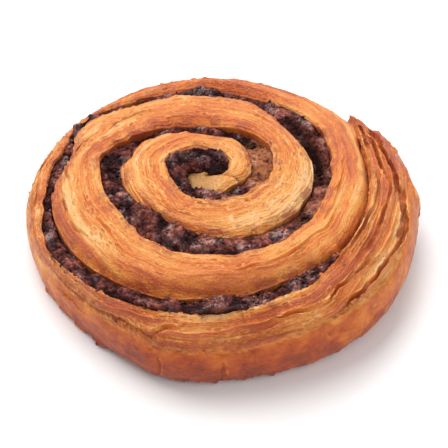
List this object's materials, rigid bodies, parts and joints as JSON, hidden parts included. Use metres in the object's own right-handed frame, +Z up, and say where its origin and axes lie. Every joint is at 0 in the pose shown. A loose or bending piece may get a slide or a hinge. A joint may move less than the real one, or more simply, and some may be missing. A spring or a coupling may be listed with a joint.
{
  "type": "cinnamon roll",
  "caption": "Flat-lying baked cinnamon roll: a coiled strip of layered flaky dough with a dark crumbly filling spiralling through it and a loose outer end.",
  "frame": {"origin": "middle of the outline's box, on the flat base that the roll rests on", "axes": "+Z up, along the roll's height and shortest extent; +Y away from the side shown in front; +X to the right, where the strip's loose end is"},
  "size_m": [0.11, 0.0996, 0.0322],
  "materials": {
    "dough": "baked layered dough, golden to reddish brown, with a thin sheen on the crust",
    "filling": "dark crumbly spiced sugar filling, baked dry with glossy specks"
  },
  "bodies": {
    "root": {"dough": "dough", "filling": "filling"}
  },
  "joints": []
}
